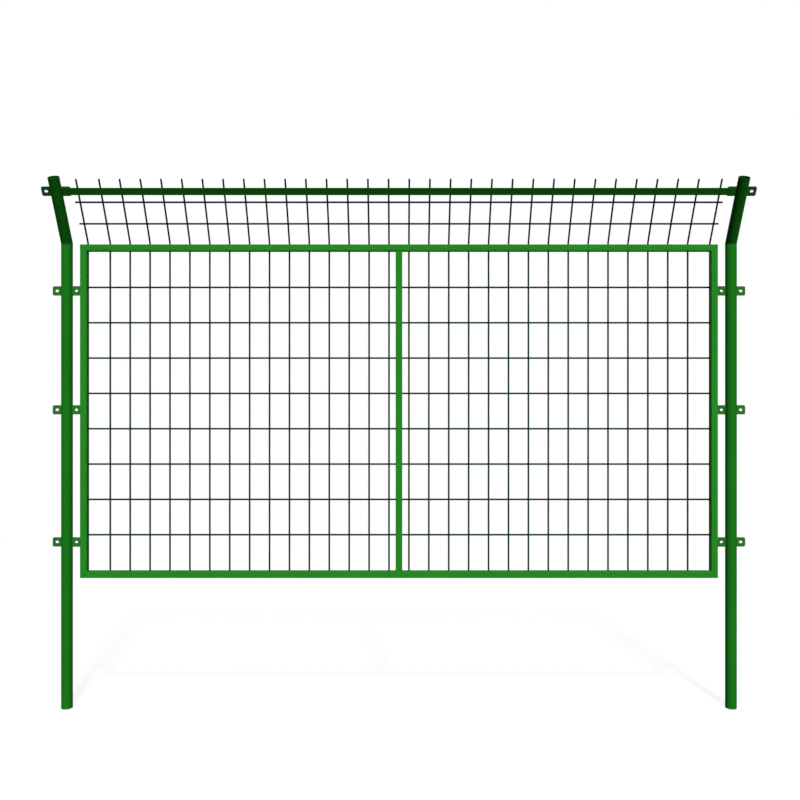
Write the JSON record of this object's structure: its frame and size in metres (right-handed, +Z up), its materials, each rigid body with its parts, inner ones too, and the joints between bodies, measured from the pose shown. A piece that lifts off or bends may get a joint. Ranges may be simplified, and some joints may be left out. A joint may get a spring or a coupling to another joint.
{
  "type": "safety fence panel with bent top",
  "caption": "Green coated wire mesh fence bay: round posts with tops leaning forward, a square tube frame with a mullion, an overhang of bent wires with a flat bar, and slotted ears.",
  "frame": {"origin": "centre of the left post's foot, on the plane of its cut end", "axes": "+X from the left post to the right post, -Y to the front, where the top leans, +Z up"},
  "size_m": [3.128, 0.1967, 2.3703],
  "materials": {
    "post_coating": "semi-gloss green plastic coating on steel tube",
    "frame_coating": "semi-gloss green plastic coating on steel tube",
    "mesh_coating": "green plastic coating on drawn wire"
  },
  "bodies": {
    "root": {"left_post": "post_coating", "left_arm": "post_coating", "right_post": "post_coating", "right_arm": "post_coating", "left_outer_lower_ear": "post_coating", "left_outer_middle_ear": "post_coating", "left_outer_upper_ear": "post_coating", "left_outer_arm_ear": "post_coating", "left_inner_lower_ear": "post_coating", "left_inner_middle_ear": "post_coating", "left_inner_upper_ear": "post_coating", "left_inner_arm_ear": "post_coating", "right_outer_lower_ear": "post_coating", "right_outer_middle_ear": "post_coating", "right_outer_upper_ear": "post_coating", "right_outer_arm_ear": "post_coating", "right_inner_lower_ear": "post_coating", "right_inner_middle_ear": "post_coating", "right_inner_upper_ear": "post_coating", "right_inner_arm_ear": "post_coating", "top_rail": "frame_coating", "bottom_rail": "frame_coating", "left_stile": "frame_coating", "right_stile": "frame_coating", "mullion": "frame_coating", "left_lower_lug": "frame_coating", "left_middle_lug": "frame_coating", "left_upper_lug": "frame_coating", "right_lower_lug": "frame_coating", "right_middle_lug": "frame_coating", "right_upper_lug": "frame_coating", "overhang_bar": "frame_coating", "mesh_panel": "mesh_coating", "mesh_overhang": "mesh_coating"}
  },
  "joints": []
}
